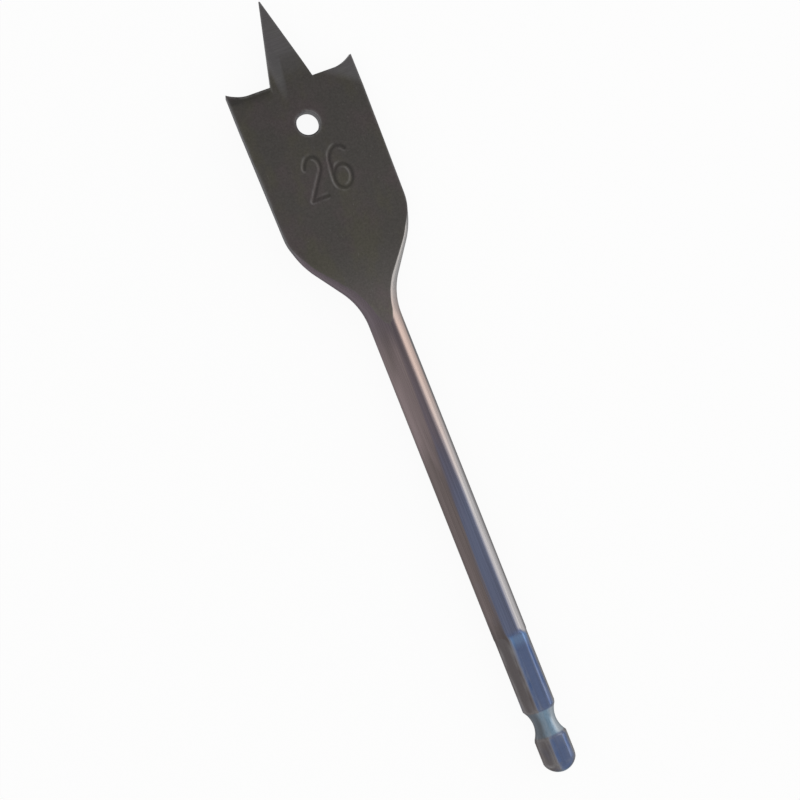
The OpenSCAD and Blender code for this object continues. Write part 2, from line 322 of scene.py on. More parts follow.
def bit_form(sizes):
    """All sizes of the bit with the values that follow from them, as the solid part has them."""
    f = SimpleNamespace(**{name: getattr(sizes, name) for name in BitSizes.__annotations__})
    f.bar_r = f.bar_d / 2
    f.half_t = f.blade_t / 2
    f.half_w = f.blade_w / 2
    f.spur_hw = f.spur_w / 2
    f.tip_y = f.overall_l / 2
    f.lip_y = f.tip_y - f.spur_l
    f.wing_v = f.spur_l - f.wing_h
    f.wing_y = f.tip_y - f.wing_v
    f.tip_hw = f.tip_w / 2
    f.lean = (f.spur_hw - f.tip_hw) / f.spur_l
    f.relief = math.tan(f.relief_a)

    # Shoulder arc, straight slope and neck arc in plan
    f.shoulder_hw = f.half_w - (f.shoulder_v - f.wing_v) * math.tan(f.side_taper)
    f.shoulder_cx = f.shoulder_hw - f.shoulder_r * math.cos(f.side_taper)
    f.shoulder_cv = f.shoulder_v - f.shoulder_r * math.sin(f.side_taper)
    f.slope_v = f.shoulder_cv + f.shoulder_r * math.sin(f.shoulder_a)
    f.slope_hw = f.shoulder_cx + f.shoulder_r * math.cos(f.shoulder_a)
    f.hollow_hw = f.bar_r + f.neck_r * (1 - math.cos(f.shoulder_a))
    f.hollow_v = f.slope_v + (f.slope_hw - f.hollow_hw) / math.tan(f.shoulder_a)
    f.neck_v = f.hollow_v + f.neck_r * math.sin(f.shoulder_a)

    # Ramps from the flat up to the round of the shaft
    f.ramp_end_v = f.neck_v + f.ramp_past
    f.ramp_v = f.ramp_end_v - f.ramp_l
    f.ramp_rise = (f.bar_r - f.half_t) / f.ramp_l

    # Sweep of the wing in the plane square to the tilted cut
    rise = f.wing_h * math.cos(f.relief_a)
    sweep_run = math.sqrt(2 * rise * f.sweep_r - rise * rise)
    f.sweep_x = max(f.half_w - sweep_run, f.spur_hw + 2 * f.root_r)

    # Hexagon, the circle of the groove, the ball of the end, and the way the bit lies
    f.half_flat = math.acos(f.hex_af / f.bar_d)
    f.hex_v = f.overall_l - f.hex_l
    f.groove_v = f.overall_l - f.groove_pos
    f.groove_mid = f.groove_d / 2 + f.groove_r
    f.end_r = f.end_round * f.bar_r
    f.ball_v = f.overall_l - f.end_r
    f.rest_roll = math.asin(f.bar_r / math.hypot(f.half_w, f.half_t)) - math.atan2(f.half_t, f.half_w)
    return f


def half_width(f, v):
    """Half width in plan: straight, leaning side, shoulder arc, straight slope, hollow arc, bar."""
    return np.select(
        [v < f.wing_v, v < f.shoulder_v, v < f.slope_v, v < f.hollow_v, v < f.neck_v],
        [
            np.full_like(v, f.half_w),
            f.half_w - (v - f.wing_v) * math.tan(f.side_taper),
            f.shoulder_cx + root_of(f.shoulder_r**2 - (v - f.shoulder_cv) ** 2),
            f.slope_hw - (v - f.slope_v) * math.tan(f.shoulder_a),
            f.bar_r + f.neck_r - root_of(f.neck_r**2 - (f.neck_v - v) ** 2),
        ],
        f.bar_r,
    )


def outline_cosine(f, v):
    """Cosine of the angle between the outline in plan and the axis."""
    sine = np.select(
        [v < f.shoulder_v, v < f.slope_v, v < f.hollow_v, v < f.neck_v],
        [
            np.zeros_like(v),
            (v - f.shoulder_cv) / f.shoulder_r,
            np.full_like(v, math.sin(f.shoulder_a)),
            (f.neck_v - v) / f.neck_r,
        ],
        0.0,
    )
    return root_of(1.0 - sine * sine)


def half_thick(f, v):
    """Half thickness: level, then a parabola that bends into the straight rise of the ramp."""
    bend = f.ramp_blend / 2
    past = v - f.ramp_v
    bent = f.half_t + f.ramp_rise * (past + bend) ** 2 / (4 * bend)
    rising = f.half_t + f.ramp_rise * past
    level = np.full_like(v, f.half_t)
    return np.minimum(np.select([past < -bend, past < bend], [level, bent], rising), f.bar_r)


def forged_share(f, v):
    """0 along the ground sides of the blade, passing smoothly to 1 along the forged shoulders."""
    return fade((v - f.shoulder_v) / f.side_fade)


def side_bulge(f, v):
    """Bulge of the side as a share of half the thickness, and at least what the round bar needs."""
    h = half_thick(f, v)
    forged = f.side_bulge * forged_share(f, v) / outline_cosine(f, v)
    like_bar = np.where(v < f.slope_v, 0.0, (f.bar_r - root_of(f.bar_r**2 - h * h)) / h)
    return np.clip(np.maximum(forged, like_bar), LEAST_BULGE, 1.0)


def flat_half_width(f, v):
    """Half width of the flat face: the outline less the broken edge, or less the side's bulge."""
    forged = forged_share(f, v)
    inset = (1 - forged) * f.edge_r + forged * side_bulge(f, v) * half_thick(f, v)
    return np.maximum(half_width(f, v) - inset, 0.0)


def top_edge_v(f, x):
    """Distance from the point of the outline at the cutting end: flank, lip and swept wing."""
    across = np.abs(x)
    sweep = f.sweep_r - root_of(f.sweep_r**2 - np.maximum(across - f.sweep_x, 0.0) ** 2)
    lip = f.spur_l - sweep / math.cos(f.relief_a)
    flank = np.maximum(across - f.tip_hw, 0.0) / f.lean
    return np.where(across < f.spur_hw, flank, lip)


def hook_floor(f, x, y):
    """Height of the lower side of the wheel that hollows the face along the point.

    The wheel's path is a cylinder. The height solves the quadratic for the points at its radius.
    """
    turn_sin, turn_cos = math.sin(f.hook_a), math.cos(f.hook_a)
    tilt_sin, tilt_cos = math.sin(f.hook_tilt), math.cos(f.hook_tilt)
    dx, dy, dz = tilt_cos * turn_sin, tilt_cos * turn_cos, -tilt_sin
    wx = x + f.hook_x - f.hook_r * tilt_sin * turn_sin
    wy = y - f.lip_y - f.hook_r * tilt_sin * turn_cos
    middle_z = f.half_t - f.hook_depth + f.hook_r * tilt_cos
    along = wx * dx + wy * dy
    flat = 1.0 - dz * dz
    inside = (along * dz) ** 2 - flat * (wx * wx + wy * wy - along * along - f.hook_r**2)
    floor = middle_z + (along * dz - root_of(inside)) / flat
    return np.where((inside > 0) & (y > f.lip_y - f.spur_l), floor, f.bar_r)


def lip_hook_floor(f, x, y):
    """Height of the lower side of the wheel that hollows the face along the left lip."""
    middle_y = f.lip_y + f.half_t * f.relief - f.lip_hook_y
    inside = f.lip_hook_r**2 - (y - middle_y) ** 2
    floor = f.half_t - f.lip_hook_depth + f.lip_hook_r - root_of(inside)
    return np.where((inside > 0) & (x < -f.hook_x), floor, f.bar_r)


def corner_floor(f, x, y):
    """Height of the sloping plane on the trailing corner at the right."""
    fall = (x - f.half_w) * math.sin(f.corner_turn)
    fall = fall + (y - f.wing_y + f.corner_l) * math.cos(f.corner_turn)
    floor = f.half_t - fall * math.tan(f.corner_slope)
    return np.where(x > f.spur_hw + f.root_r, floor, f.bar_r)


def point_taper_floor(f, y):
    """Height of the plane that grinds the point thinner toward its tip."""
    v = f.tip_y - y
    floor = f.tip_t / 2 + (f.half_t - f.tip_t / 2) * v / f.point_taper_l
    return np.where(v < f.point_taper_l, floor, f.bar_r)


def cut_floors(f, x, y):
    """Heights to which each of the cuts lowers the front face."""
    return {
        "hook": hook_floor(f, x, y),
        "lip": lip_hook_floor(f, x, y),
        "corner": corner_floor(f, x, y),
        "taper": point_taper_floor(f, y),
    }


def face_height(f, x, y):
    """Height of the front face over the middle plane: the lowest of the forged face and the cuts."""
    floors = cut_floors(f, x, y).values()
    return np.minimum(half_thick(f, f.tip_y - y), np.minimum.reduce(list(floors)))


def cut_share(kind, depth):
    """How much of its full finish a cut has at a depth, so that it fades out where it runs out."""
    return np.clip(depth / (CUT_FULL_DEPTH[kind] * MM), 0.0, 1.0)


def cut_masks(f, x, y):
    """How bare the wheel has left the face, and the painted shade under the leading lip."""
    v = f.tip_y - y
    forged = half_thick(f, v)
    reached = {kind: cut_share(kind, forged - floor) for kind, floor in cut_floors(f, x, y).items()}
    bare = np.maximum.reduce([reached[kind] for kind in BARE_CUTS])
    bare = np.maximum(bare, POINT_BARE * fade((y - f.lip_y) / (POINT_BARE_L * MM)))
    # Painted shade: darker in the hollow under the left lip and below that lip, on the left side only
    below_lip = fade(1.0 - (v - top_edge_v(f, x)) / (LIP_SHADE_L * MM))
    painted_shade = np.maximum(HOLLOW_SHADE * reached["lip"], LIP_SHADE * below_lip)
    return bare, painted_shade * fade((-x - f.spur_hw) / f.root_r)


def arc_points(centre, radii, start, end, count):
    """Points on an ellipse from one angle to another, in degrees."""
    a = np.radians(np.linspace(start, end, count))
    return np.stack([centre[0] + radii[0] * np.cos(a), centre[1] + radii[1] * np.sin(a)], axis=-1)


def digit_strokes():
    """Middle lines of the two digits in a box one wide and one high, each a list of points."""
    two = np.concatenate([arc_points(*TWO_HOOK), TWO_FOOT])
    six = np.concatenate([arc_points(*SIX_CROWN), arc_points(*SIX_BOWL)])
    return two, six


def stamp_offset(number, x, v):
    """How far the stamped number moves the face, and masks of the strokes' painted shade, fuller on
    their right sides, and of the painted highlight on their left edges.

    The distance to the nearest stroke gives a groove with sloping sides and a low burr beside it.
    """
    nearest = np.full(x.shape, np.inf)
    beside = np.zeros(x.shape)
    lean = math.tan(number.slant)
    pitch = number.width + number.gap
    for side, stroke in zip((-0.5, 0.5), digit_strokes()):
        up = (stroke[:, 1] - 0.5) * number.height + side * number.drop
        px = number.place_x + side * pitch + (stroke[:, 0] - 0.5) * number.width + up * lean
        pv = number.place_v - up
        for x0, v0, x1, v1 in zip(px[:-1], pv[:-1], px[1:], pv[1:]):
            run = np.array([x1 - x0, v1 - v0])
            t = np.clip(((x - x0) * run[0] + (v - v0) * run[1]) / (run @ run), 0.0, 1.0)
            dx, dv = x - x0 - t * run[0], v - v0 - t * run[1]
            distance = np.hypot(dx, dv)
            beside = np.where(distance < nearest, dx, beside)
            nearest = np.minimum(distance, nearest)
    half = number.stroke / 2
    cut = fade((half - nearest) / (STROKE_WALL * half))
    burr = fade(1.0 - np.abs(nearest - BURR_PLACE * half) / (BURR_REACH * half))
    right = fade(0.5 + beside / half)
    offset = number.burr * burr * (1 - cut) - number.depth * cut
    # Painted shade in each stroke, fuller on its right side, and a painted highlight along its left edge
    dark = cut * (STROKE_SHADE + (1 - STROKE_SHADE) * right)
    return offset, dark, near(nearest - half, STROKE_HIGHLIGHT * half) * (1 - right)


def patch(points, flip=False, **masks):
    """A grid of points with the masks that its finish follows, each nought unless it is given."""
    masks = {name: np.broadcast_to(masks.get(name, 0.0), points.shape[:2]) for name in MASKS}
    return SimpleNamespace(points=points, masks=masks, flip=flip)


def half_turn(points):
    """The same points after half a turn round the axis."""
    return points * np.array([-1.0, 1.0, -1.0])


# A grid as it is, and the same after half a turn
BOTH = (np.array, half_turn)


def column_shares(f):
    """Places across a flat face from -1 to 1, closer together on the point and under the number."""
    knots = [0.0, f.tip_hw, f.spur_hw, DIGIT_REACH_X * MM, f.sweep_x, f.half_w - f.edge_r]
    steps = [step * MM for step in (POINT_STEP, POINT_STEP, DIGIT_STEP, WING_STEP, SWEEP_STEP)]
    right = spaced(knots, steps)
    right = right / right[-1]
    return np.concatenate([-right[:0:-1], right])


def row_places(f):
    """Distances from the point of the level rows, from below the lips to the end of the ramps."""
    knots = [BASE_V * MM, DIGIT_V[0] * MM, DIGIT_V[1] * MM, f.ramp_end_v]
    return spaced(knots, [step * MM for step in (BLADE_ROW, DIGIT_ROW, NECK_ROW)])


def relief_shift(f, u, z, share_left):
    """Move of an outline point at height z, because the cut behind each edge is tilted by the relief.

    Lips and wings move along the axis. The flanks of the point pass over to a move across at the tip.
    """
    q = np.clip((np.abs(u) - f.tip_hw) / (f.spur_hw - f.tip_hw), 0.0, 1.0)
    dx = -(1.0 - q) * z * f.relief * f.lean
    dy = -np.sign(u) * q * z * f.relief
    return dx * share_left, dy * share_left


def blade_rows(f, edge_v):
    """Distances from the point of all rows, and the share of the relief's move that each row has.

    The first rows run down from the cutting edge to a level one, and the move dies out as a cube.
    """
    t = np.linspace(0.0, 1.0, TOP_ROWS, endpoint=False)[:, None]
    low = row_places(f)[:, None]
    v = np.concatenate([edge_v + (BASE_V * MM - edge_v) * t, low + 0.0 * edge_v])
    return v, np.concatenate([(1.0 - t) ** 3, 0.0 * low])


def flat_grid(f):
    """Points of the front face: columns across, rows from the cutting edges to the end of the ramp."""
    across = column_shares(f)[None, :]
    u = across * (f.half_w - f.edge_r)
    v, share_left = blade_rows(f, top_edge_v(f, u))
    x = across * flat_half_width(f, v)
    y = f.tip_y - v
    z = face_height(f, x, y)
    for _ in range(RELIEF_ROUNDS):
        dx, dy = relief_shift(f, u, z, share_left)
        z = face_height(f, x + dx, y + dy)
    return np.stack([x + dx, y + dy, z], axis=-1)


def side_profile(f, v, ring):
    """Inset from the outline and height of the right side's points, from its front to its back edge.

    The ground side is a wall with broken edges. The forged side is an arc through the widest place.
    """
    h = half_thick(f, v)
    bulge = side_bulge(f, v)
    radius = h * (1 + bulge * bulge) / (2 * bulge)
    reach = np.arcsin(np.clip(h / radius, -1.0, 1.0))
    turn = reach * (1.0 - 2.0 * ring / math.pi)
    arc_inset = radius * (1.0 - np.cos(turn))
    arc_z = radius * np.sin(turn)

    count = ring.size
    a = np.linspace(0.0, math.pi / 2, EDGE_STEPS + 1)
    corner_inset = f.edge_r * (1.0 - np.sin(a))
    corner_z = f.half_t - f.edge_r * (1.0 - np.cos(a))
    wall = np.linspace(corner_z[-1], -corner_z[-1], count - 2 * EDGE_STEPS)[1:-1]
    wall_inset = np.concatenate([corner_inset, 0.0 * wall, corner_inset[::-1]])
    wall_z = np.concatenate([corner_z, wall, -corner_z[::-1]])

    forged = forged_share(f, v)
    inset = (1 - forged) * wall_inset + forged * arc_inset
    return inset, (1 - forged) * wall_z + forged * arc_z


def ring_angles(f):
    """Angles from the front face round the right side to the back, with one at every hexagon edge."""
    flats = [f.hex_turn + i * SECTOR for i in range(3)]
    edges = [edge for flat in flats for edge in (flat + f.half_flat, flat + SECTOR - f.half_flat)]
    return spaced([0.0, *edges, math.pi], [RING_STEP] * (len(edges) + 1))


def side_strip(f, front, ring):
    """Points of the right side between the two faces, row by row beside the front grid's last column."""
    inset, _ = side_profile(f, np.full((1, 1), f.wing_v), ring)
    v, share_left = blade_rows(f, top_edge_v(f, f.half_w - inset))
    inset, z = side_profile(f, v, ring)

    # Heights follow the two faces, which the cuts have lowered at the cutting end
    x = half_width(f, v) - inset
    z_front = face_height(f, x, f.tip_y - v)
    z_back = -face_height(f, -x, f.tip_y - v)
    h = half_thick(f, v)
    up = (z + h) / (2 * h)
    z = z_back + (z_front - z_back) * up
    dx, dy = relief_shift(f, np.full_like(v, f.half_w), z, share_left)
    strip = np.stack([x + dx, f.tip_y - v + dy, z], axis=-1)

    # The edges are shared with the two faces
    strip[:, 0] = front[:, -1]
    strip[:, -1] = half_turn(front[:, 0])
    return strip


def ball_radius(f, v):
    """Radius of the rounded end: the ball's radius until past its middle, then its circle."""
    return root_of(f.end_r**2 - np.maximum(v - f.ball_v, 0.0) ** 2)


def off_flat(f, ring):
    """Angle from the middle of the nearest of the hexagon's flats."""
    return np.abs((ring - f.hex_turn + SECTOR / 2) % SECTOR - SECTOR / 2)


def groove_reach(f, radius):
    """Half length of the groove's circle at a distance from the axis."""
    return root_of(f.groove_r**2 - (f.groove_mid - radius) ** 2)


def shank_radius(f, v, ring):
    """Distance of the surface from the axis: the least of bar, hexagon, groove and ball end."""
    flat_d = f.hex_af / 2 + np.maximum(f.hex_v - v, 0.0) * math.tan(f.hex_runout_a)
    radius = np.minimum(f.bar_r, flat_d / np.cos(off_flat(f, ring)))
    inside = f.groove_r**2 - (v - f.groove_v) ** 2
    groove = f.groove_mid - root_of(inside)
    radius = np.where(inside > 0, np.minimum(radius, groove), radius)
    return np.minimum(radius, ball_radius(f, v))


def shank_rows(f):
    """Distances from the point of the rows on the shaft, close together where the form changes."""
    runout = (f.bar_r - f.hex_af / 2) / math.tan(f.hex_runout_a)
    reach = groove_reach(f, f.bar_r)
    ball_a = math.acos(f.bar_r / f.end_r)
    knots = [f.ramp_end_v, f.hex_v - runout, f.hex_v, f.groove_v - reach, f.groove_v + reach,
             f.ball_v + f.end_r * math.sin(ball_a)]
    steps = [SHAFT_ROW, FINE_ROW, HEX_ROW, FINE_ROW, HEX_ROW]
    straight = spaced(knots, [step * MM for step in steps])
    over_end = np.linspace(ball_a, math.pi / 2, END_ROWS + 1)[1:]
    return np.concatenate([straight, f.ball_v + f.end_r * np.sin(over_end)])


def shank_patches(f, ring):
    """The right half of the shaft with its rounded end, and the same half a turn round."""
    v = shank_rows(f)[:, None]
    radius = shank_radius(f, v, ring[None, :])
    y = f.tip_y - v + 0.0 * radius
    side = np.stack([radius * np.sin(ring), y, radius * np.cos(ring)], axis=-1)

    # Edges: corners of the hexagon, rims of the groove and of the rounded end
    off = off_flat(f, ring)
    hexagon = np.minimum(f.bar_r, f.hex_af / 2 / np.cos(off))
    corner = worn("hexagon", np.maximum(f.half_flat - off, 0.0) * f.bar_r)
    corner = corner * fade((v - f.hex_v) / (HEX_START * MM))
    rims = worn("groove", np.abs(v - f.groove_v) - groove_reach(f, hexagon))
    end = worn("end", ball_radius(f, v) - hexagon) * (v > f.ball_v)
    edge = np.maximum(np.maximum(corner, rims), end)
    ground = SHANK_BARE * cut_share("shank", f.bar_r - radius)
    return [patch(turn(side), edge=edge, ground=ground) for turn in BOTH]


def loop_of(grid, rows, columns):
    """Points round a block of a grid, clockwise seen from outside."""
    r0, r1 = rows
    c0, c1 = columns
    return np.concatenate([grid[r0, c0:c1], grid[r0:r1, c1], grid[r1, c1:c0:-1], grid[r1:r0:-1, c0]])


def hole_patches(f, loop):
    """Front face round the hole, its chamfer, and the wall of the hole.

    Rings pass from the square block cut out of the grid to the circle of the chamfer's rim.
    """
    loop = np.concatenate([loop, loop[:1]])
    middle = np.array([0.0, f.tip_y - f.hole_v])
    hole_r = f.hole_d / 2
    rim_r = hole_r + f.hole_chamfer
    a = np.arctan2(loop[:, 1] - middle[1], loop[:, 0] - middle[0])
    spoke = np.stack([np.cos(a), np.sin(a)], axis=-1)
    t = np.linspace(0.0, 1.0, HOLE_RINGS)[:, None, None]
    plan = (1 - t) * loop[None, :, :2] + t * (middle + rim_r * spoke)[None]
    z = face_height(f, plan[..., 0], plan[..., 1])
    face = np.concatenate([plan, z[..., None]], axis=-1)
    face[0] = loop

    inner_z = np.full((loop.shape[0], 1), f.half_t - f.hole_chamfer)
    inner = np.concatenate([middle + hole_r * spoke, inner_z], axis=-1)
    bevel = np.stack([face[-1], (face[-1] + inner) / 2, inner])
    levels = np.linspace(1.0, -1.0, HOLE_WALL_ROWS + 1)
    wall = np.stack([inner * np.array([1.0, 1.0, level]) for level in levels])
    to_rim = np.hypot(plan[..., 0] - middle[0], plan[..., 1] - middle[1]) - rim_r
    patches = [patch(wall, ground=HOLE_BARE)]
    bare, _ = cut_masks(f, plan[..., 0], plan[..., 1])
    for turn in BOTH:
        patches.append(patch(turn(face), skin=1.0, ground=bare, edge=worn("hole", to_rim)))
        patches.append(patch(turn(bevel), ground=1.0, edge=CHAMFER_EDGE))
    return patches


def blade_patches(f, number, ring):
    """Both faces of the blade, the walls at its sides and its cutting edges, and the hole."""
    front = flat_grid(f)
    strip = side_strip(f, front, ring)
    x, y = front[..., 0], front[..., 1]
    v = f.tip_y - y

    # Masks of the face: cuts, edges, and the number with its painted shade and highlight
    bare, painted_shade = cut_masks(f, x, y)
    side_edge = worn("side", flat_half_width(f, v) - np.abs(x))
    side_edge = side_edge * (1 - FORGED_EDGE_LOSS * forged_share(f, v))
    from_top = (v - top_edge_v(f, x)) * np.where(np.abs(x) < f.spur_hw, f.lean, 1.0)
    edge = np.maximum(side_edge, worn("cutting", from_top))
    offset, stroke_shade, stroke_highlight = stamp_offset(number, x, v)
    stamped = front.copy()
    stamped[..., 2] += offset

    # The block round the hole is left out of both grids
    block = HOLE_BLOCK * MM
    rows = np.nonzero((np.abs(v[:, 0] - f.hole_v) <= block) & (np.arange(len(v)) >= TOP_ROWS))[0]
    u = column_shares(f) * (f.half_w - f.edge_r)
    columns = np.nonzero(np.abs(u) <= block)[0]
    r0, r1, c0, c1 = rows[0], rows[-1], columns[0], columns[-1]
    windows = [
        (slice(0, r0 + 1), slice(None)),
        (slice(r0, r1 + 1), slice(0, c0 + 1)),
        (slice(r0, r1 + 1), slice(c1, None)),
        (slice(r1, None), slice(None)),
    ]
    patches = []
    for window in windows:
        plain = {"skin": 1.0, "ground": bare[window], "painted_shade": painted_shade[window], "edge": edge[window]}
        marked = {**plain, "painted_shade": np.maximum(painted_shade, stroke_shade)[window],
                  "edge": np.maximum(edge, stroke_highlight)[window]}
        patches.append(patch(stamped[window], **marked))
        patches.append(patch(half_turn(front[window]), **plain))
    patches += hole_patches(f, loop_of(front, (r0, r1), (c0, c1)))

    # Sides, and the walls of lips, wings and point between the two faces
    strip_v = f.tip_y - strip[..., 1]
    strip_ground = 1 - forged_share(f, strip_v)
    strip_inset = half_width(f, strip_v) - strip[..., 0]
    strip_edge = np.clip(strip_inset / f.edge_r, 0.0, 1.0) * strip_ground
    patches += [patch(turn(strip), ground=strip_ground, edge=strip_edge) for turn in BOTH]
    down = np.linspace(0.0, 1.0, ring.size)[:, None, None]
    back = half_turn(front[0])[::-1]
    wall = front[0] + (back - front[0]) * down
    left = half_turn(strip[0])[::-1][:, None]
    wall = np.concatenate([left, wall, strip[0][:, None]], axis=1)
    wall_edge = np.maximum(near(down[..., 0], WALL_EDGE), near(1 - down[..., 0], WALL_EDGE))
    patches.append(patch(wall, flip=True, ground=1.0, edge=wall_edge))
    return patches


def weld(patches):
    """One closed mesh from all patches: points at the same place become one point."""
    faces, start = [], 0
    for p in patches:
        rows, columns = p.points.shape[:2]
        index = start + np.arange(rows * columns).reshape(rows, columns)
        corners = [index[:-1, :-1], index[1:, :-1], index[1:, 1:], index[:-1, 1:]]
        if p.flip:
            corners.reverse()
        faces.append(np.stack(corners, axis=-1).reshape(-1, 4))
        start += rows * columns
    points = np.concatenate([p.points.reshape(-1, 3) for p in patches])
    _, first, place = np.unique(np.round(points / WELD).astype(np.int64), axis=0,
                                return_index=True, return_inverse=True)
    faces = place.ravel()[np.concatenate(faces)]

    # A square with one side closed up becomes a triangle, and one with less is dropped
    same = faces == np.roll(faces, -1, axis=1)
    closed_up = same.sum(axis=1)
    squares = faces[closed_up == 0]
    triangles = faces[closed_up == 1][~same[closed_up == 1]].reshape(-1, 3)
    squares = squares[(squares[:, 0] != squares[:, 2]) & (squares[:, 1] != squares[:, 3])]
    masks = {name: np.concatenate([p.masks[name].ravel() for p in patches])[first] for name in MASKS}
    return points[first], squares, triangles, masks


def check_closed(squares, triangles):
    """Every edge has to be used once in each direction."""
    starts = np.concatenate([squares.ravel(), triangles.ravel()])
    ends = np.concatenate([np.roll(faces, -1, axis=1).ravel() for faces in (squares, triangles)])
    count = starts.max() + 1
    forward, backward = np.sort(starts * count + ends), np.sort(ends * count + starts)
    if np.any(np.diff(forward) == 0) or np.any(forward != backward):
        open_edges = len(np.setxor1d(forward, backward))
        raise RuntimeError(f"the bit's surface isn't closed: {open_edges} open edges")


def lay_down(f, points):
    """Roll the bit about its axis onto its lower wing and lift it by the bar's radius."""
    cos, sin = math.cos(f.rest_roll), math.sin(f.rest_roll)
    x = points[:, 0] * cos + points[:, 2] * sin
    z = points[:, 2] * cos - points[:, 0] * sin + f.bar_r
    return np.stack([x, points[:, 1], z], axis=-1)


def make_mesh(name, points, squares, triangles, masks):
    """Blender mesh with smooth faces, sharp edges by angle and the masks as attributes."""
    mesh = bpy.data.meshes.new(name)
    mesh.from_pydata(points, [], squares.tolist() + triangles.tolist())
    for mask, values in masks.items():
        layer = mesh.attributes.new(mask, "FLOAT", "POINT")
        layer.data.foreach_set("value", values.astype(np.float32))
    mesh.polygons.foreach_set("use_smooth", np.ones(len(mesh.polygons), dtype=bool))
    mesh.set_sharp_from_angle(angle=SMOOTH_ANGLE)
    mesh.update()
    return mesh


VECTOR, FLOAT, COLOUR = "NodeSocketVector", "NodeSocketFloat", "NodeSocketColor"

# Noise patterns: scale for each millimetre in x, y and z, turn on the face, detail, roughness
PATTERNS = {
    "drift": ((0.30, 0.045, 0.30), 0, 2, 0.55),
    "streak": ((1.6, 0.03, 1.6), 0, 3, 0.55),
    "patches": ((0.22, 0.09, 0.22), 0, 2, 0.55),
    "warm": ((0.085, 0.085, 0.085), 0, 3, 0.55),
    "olive": ((0.16, 0.096, 0.16), 0.5, 3, 0.55),
    "grain": ((2.6, 2.6, 2.6), 0, 4, 0.65),
    "pits": ((1.1, 1.1, 1.1), 0, 2, 0.55),
    "specks": ((1.9, 0.855, 1.9), 0.4, 2, 0.55),
    "drawn": ((7.0, 0.05, 7.0), 0, 3, 0.6),
    "wheel": ((0.25, 9.0, 5.0), 0.18, 3, 0.6),
    "wear": ((0.75, 0.16, 0.75), 0, 3, 0.6),
}

# Spans of values, and what their two ends become unless it is 0 and 1
SPANS = {
    # Round the bar, in radians from the top to the right, or past the start of a tint
    "tint": (-0.09, 0.09),
    "tint out": (1.2, 1.7, 1, 0),
    "pale": (-0.12, 0.19),
    "pale out": (1.9, 2.6, 1, 0),
    # Painted shade: a dark band round the bar just before its highlight
    "painted_shade_band": (-0.42, -0.08),
    "dusk out": (0.9, 1.3, 0.3, 0),
    # Painted highlight on the hexagon's corner where the heat tint starts
    "corner": (0.02, 0.14, 0.2, 0),
    # Painted shade: the darker strip at the far right of the highlight
    "rim": (0.78, 1.08),
    "groove top": (-0.75, -0.1),
    "groove right": (0.15, 0.6),
    # Along the bar, in millimetres from the middle of the rosy stretch or of the groove
    "rosy": (4, 16, 1, 0),
    "groove": (5, 6, 1, 0),
    # In the noise patterns
    "patches": (0.56, 0.74, 0, 0.3),
    "warm": (0.44, 0.62),
    "olive": (0.48, 0.66),
    "grain": (0.25, 0.75, 0.86, 1.14),
    "pits": (0.60, 0.72, 0, 0.35),
    "specks": (0.70, 0.76, 0, 0.08),
    "wear": (0.28, 0.66),
    "drawn": (0.3, 0.7, 0.88, 1.12),
    "wheel": (0.3, 0.7, 0.85, 1.15),
    # Bar and forging skin: roughness by their patterns, metal and bright wear by the skin's mask, the
    # wear with the strokes' painted highlights
    "bar rough": (0.25, 0.75, 0.24, 0.36),
    "skin rough": (0, 0.45, 0.42, 0.56),
    "metal": (0, 1, 0.96, 0.80),
    "bright": (0, 1, 0.3, 0.2),
}

# Stretches along the bar, each end a mark and millimetres past it, and what the ends become likewise
STRETCHES = {
    "dark brown": ("hexagon", -6, "hexagon", 0),
    "violet": ("neck", -2, "neck", 8, 0.6, 0),
    "slate": ("neck", 8, "hexagon", -18),
    "straw_highlight": ("neck", -8, "neck", 3),
    "pale": ("neck", 8, "hexagon", -25),
    "hexagon": ("hexagon", -1.5, "hexagon", 0.5),
    "tint start": ("neck", 0, "hexagon", -6, -0.05, -0.48),
    "pale start": ("neck", 0, "hexagon", -20, 0.31, 0.395),
    "tint depth": ("neck", -12, "neck", 40, 0.25, 1),
    "painted_glint": ("hexagon", -0.7, "hexagon", 0.2),
    "flash out": ("hexagon", 0.4, "hexagon", 2.6, 0.6, 0),
    "rim": ("neck", -5, "neck", 5),
    "very end": ("end", -0.9, "end", -0.3, 0, 0.7),
}

# Middle of the rosy stretch past the neck and how far the tints wander along the bar, in millimetres
ROSY_PAST = 15
TINT_WANDER = 36

# How far the tints' and the painted highlight's edges stray round the bar, and their turn on the
# hexagon, in radians
TINT_STRAY = 0.34
HEX_TINT_TURN = 0.16
HEX_HIGHLIGHT_TURN = 0.48

# Groove's tint: from this far above its bottom to this far below the flats, in millimetres
GROOVE_FLOOR = 0.55
GROOVE_RIM = 0.05
GROOVE_SHARE = 0.9

# How many times lighter the skin gets down to the shoulders and then down to the neck, the second a
# painted highlight on the ramps, and how many millimetres past the start of the shoulders the second
# change begins
SHOULDER_LIFT = 1.12
NECK_LIFT = 1.55
NECK_LIFT_PAST = 4

# Share of the ground colour that the skin holds back, strength of the painted shade, roughness of ground
# faces
SKIN_STAIN = 0.35
PAINTED_SHADE_SHARE = 0.5
GROUND_ROUGH = 0.36

# How much of the light that only grazes the steel is thrown back
GRAZING_TINT = 0.45

# Parts of the fine relief, its strength and its depth in millimetres
GRAIN_HEIGHT = 0.5
SKIN_RELIEF = 0.9
DRAWN_RELIEF = 0.22
WHEEL_RELIEF = 0.5
RELIEF_STRENGTH = 0.22
RELIEF_DEPTH = 0.05


